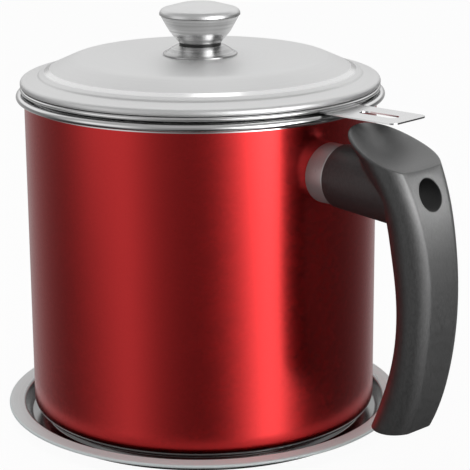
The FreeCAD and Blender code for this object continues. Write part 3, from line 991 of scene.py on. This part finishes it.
# %% Lifting tab
def rounded_outline(bm, low, high, radius, rounded_from):
    """A rectangle of edges, with rounded corners where x is past a limit."""
    corners = [(low[0], low[1]), (high[0], low[1]), (high[0], high[1]), (low[0], high[1])]
    outline = [bm.verts.new((x * MM, y * MM, 0)) for x, y in corners]
    bm.faces.new(outline)
    bmesh.ops.bevel(
        bm, geom=[vert for vert in outline if vert.co.x > rounded_from * MM], offset=radius * MM,
        offset_type="OFFSET", segments=8, profile=0.5, affect="VERTICES", material=-1,
    )
    bmesh.ops.delete(bm, geom=bm.faces[:], context="FACES_ONLY")


def lifting_tab():
    """A plate between its outline and its slot, turned to where it sits."""
    bm = bmesh.new()
    rounded_outline(bm, (TAB_INNER, -TAB_HALF), (TAB_END, TAB_HALF), TAB_CORNER, SLOT_END)
    rounded_outline(bm, (SLOT_START, -SLOT_HALF), (SLOT_END, SLOT_HALF), SLOT_CORNER, TAB_INNER)
    bmesh.ops.triangle_fill(bm, use_beauty=True, edges=bm.edges[:])
    bmesh.ops.remove_doubles(bm, verts=bm.verts, dist=MERGED)
    bmesh.ops.recalc_face_normals(bm, faces=bm.faces)
    turn = Matrix.Rotation(math.radians(TAB_TURN), 4, "Z")
    place = turn @ Matrix.Translation((0, 0, TAB_MIDDLE * MM))
    bmesh.ops.transform(bm, matrix=place, verts=bm.verts)
    return bm


tab = lifting_tab()
finished("strainer_tab", tab, bright_steel, "strainer", "strainer_ear", gauge=0.6)

# %% [markdown]
# ## Lid
#
# The dome is nearly flat, turns over a soft shoulder into a slope, and ends in a
# low step, a brim and a rolled edge. The dome's bend has a radius of four metres: a
# flat disc would mirror one level all over, and the slight curve lets the light
# change across it.

# %% Lid
lid_moves = [
    (4000.0, -0.68), (12.0, -23.32), 12.327,   # the dome, the shoulder and the slope
    (1.2, -32), (1.2, 44), 5.569,              # the step and the brim
    (1.2, -78), 0.308, (0.6, -180), 0.4,       # the edge, turned down and rolled in
]
lid = spun_sheet((0, 147.3), OUTWARDS, lid_moves)
finished("lid_dome", lid, satin_steel, "lid", "lid_shell", gauge=0.6)

# %% [markdown]
# ## Knob
#
# The knob is three spinnings stacked on a screw: a flared foot, a cone and a domed
# cap, with a dark ring at the waist. It could be spun as one shape, but the fine
# dark gaps between its pieces tell a real knob from a bead.

# %% Foot and cone
foot_moves = [
    4.9, (0.5, -24), (17.0, -18),              # the seat under the ring and the flare
    (0.35, 42), 0.352, (0.35, -90), 0.22,      # the narrow edge that stands on the lid
]
foot = spun_sheet((4.0, 151.2), OUTWARDS, foot_moves, steps=120)
finished("knob_foot", foot, shaded_foot_steel, "lid", "knob_base", gauge=0.6)
cone = spun_sheet((4.0, 152.6), OUTWARDS, [3.7, (1.0, 50), 4.2, (10.0, 11), 6.289], steps=120)
finished("knob_cone", cone, polished_steel, "lid", "knob_cup", gauge=0.6)

# %% Cap and ring
cap = spun_sheet((0, 168.139), OUTWARDS, [(41.7, -20.19), (2.0, -69.81), 0.3], steps=120)
finished("knob_top", cap, cap_steel, "lid", "knob_cap", gauge=0.6)
waist = spun_sheet((6.15, 151.9), OUTWARDS, [2.1], steps=96)
finished("knob_waist", waist, black_ring, "lid", "knob_spacer", gauge=0.8)

# %% [markdown]
# ## Collar
#
# A drawn steel collar bridges the round wall and the handle's flat end. It is a
# spinning about the handle's axis, and its open end is shaped to the wall. A
# Boolean with the wall would cut it too, but moving each vertex of that end along
# the axis until it meets the pot's radius keeps the faces even.

# %% Collar
COLLAR_RADIUS = 11.0
COLLAR_END = 77.5
COLLAR_HOLE = 5.3
COLLAR_GAUGE = 0.8
COLLAR_BEND = 0.3
WALL_RADIUS = 70.0
WALL_REACH = 0.01


def collar():
    """A tube from the wall to the handle, with its far end turned in to a hole."""
    bm = bmesh.new()
    tube = COLLAR_END - WALL_RADIUS - COLLAR_BEND - COLLAR_GAUGE / 2
    moves = [tube, (COLLAR_BEND, -90), COLLAR_RADIUS - COLLAR_HOLE]
    draw_line(bm, (WALL_RADIUS, COLLAR_RADIUS), OUTWARDS, moves)
    spun_about(bm, HANDLE_AXIS, 96)
    for vert in bm.verts:
        if vert.co.x < (WALL_RADIUS + WALL_REACH) * MM:
            vert.co.x = math.sqrt((WALL_RADIUS * MM) ** 2 - vert.co.y ** 2)
    bmesh.ops.translate(bm, verts=bm.verts, vec=(0, 0, HANDLE_HEIGHT))
    return bm


finished(
    "handle_collar", collar(), collar_steel, "pot", "handle_ferrule",
    gauge=COLLAR_GAUGE,
)

# %% [markdown]
# ## Handle
#
# The CAD solid already has the grip's exact shape, with the small radii of its
# mould. Its mesh is loose triangles, which would shade as flat facets, so a copy
# is merged and shaded smooth, and only the hole's rim and the foot stay crisp.

# %% Handle
def moulded_handle():
    """The CAD grip's mesh with its loose triangles joined."""
    bm = bmesh.new()
    bm.from_mesh(nodes["handle_grip"].data)
    bmesh.ops.remove_doubles(bm, verts=bm.verts, dist=MERGED)
    return bm


finished("moulded_grip", moulded_handle(), black_moulding, "pot", "handle_grip")

# %% [markdown]
# The handle's own lamps are bright, because black takes most of their light. They
# are shaded from all else, as with black card in a studio, so that the polished
# steel shows no hot spots. Modelled card would have to be moved for every view, and
# light linking stays right from all sides.

# %% Only the handle gets its lamps
lit_alone = bpy.data.collections.new("lit_by_the_handle_lamps")
lit_alone.objects.link(bpy.data.objects["moulded_grip"])
for name, numbers in LAMPS.items():
    mirrored = numbers[-1]
    if mirrored:
        bpy.data.objects[name].light_linking.receiver_collection = lit_alone
        print(name, "lights the handle alone")

# %% [markdown]
# ## Screws and washers
#
# The screws, washers and threaded hubs are small turned parts that hardly show.
# Their CAD shapes are right, so they stay and only get a zinc-plated finish.

# %% Finishes for the CAD pieces that stay
SMALL_PARTS = [
    "handle_boss", "handle_screw", "handle_flat_washer", "handle_spring_washer",
    "knob_insert", "knob_screw", "knob_flat_washer", "knob_spring_washer",
]
for name in SMALL_PARTS:
    for material_slot in nodes[name].material_slots:
        material_slot.material = zinc_steel
print(len(SMALL_PARTS), "small parts finished")

# %% [markdown]
# ## Finish
#
# The view transform is Standard, so a colour shows as it is written.

# %% View transform
bpy.context.scene.view_settings.view_transform = "Standard"
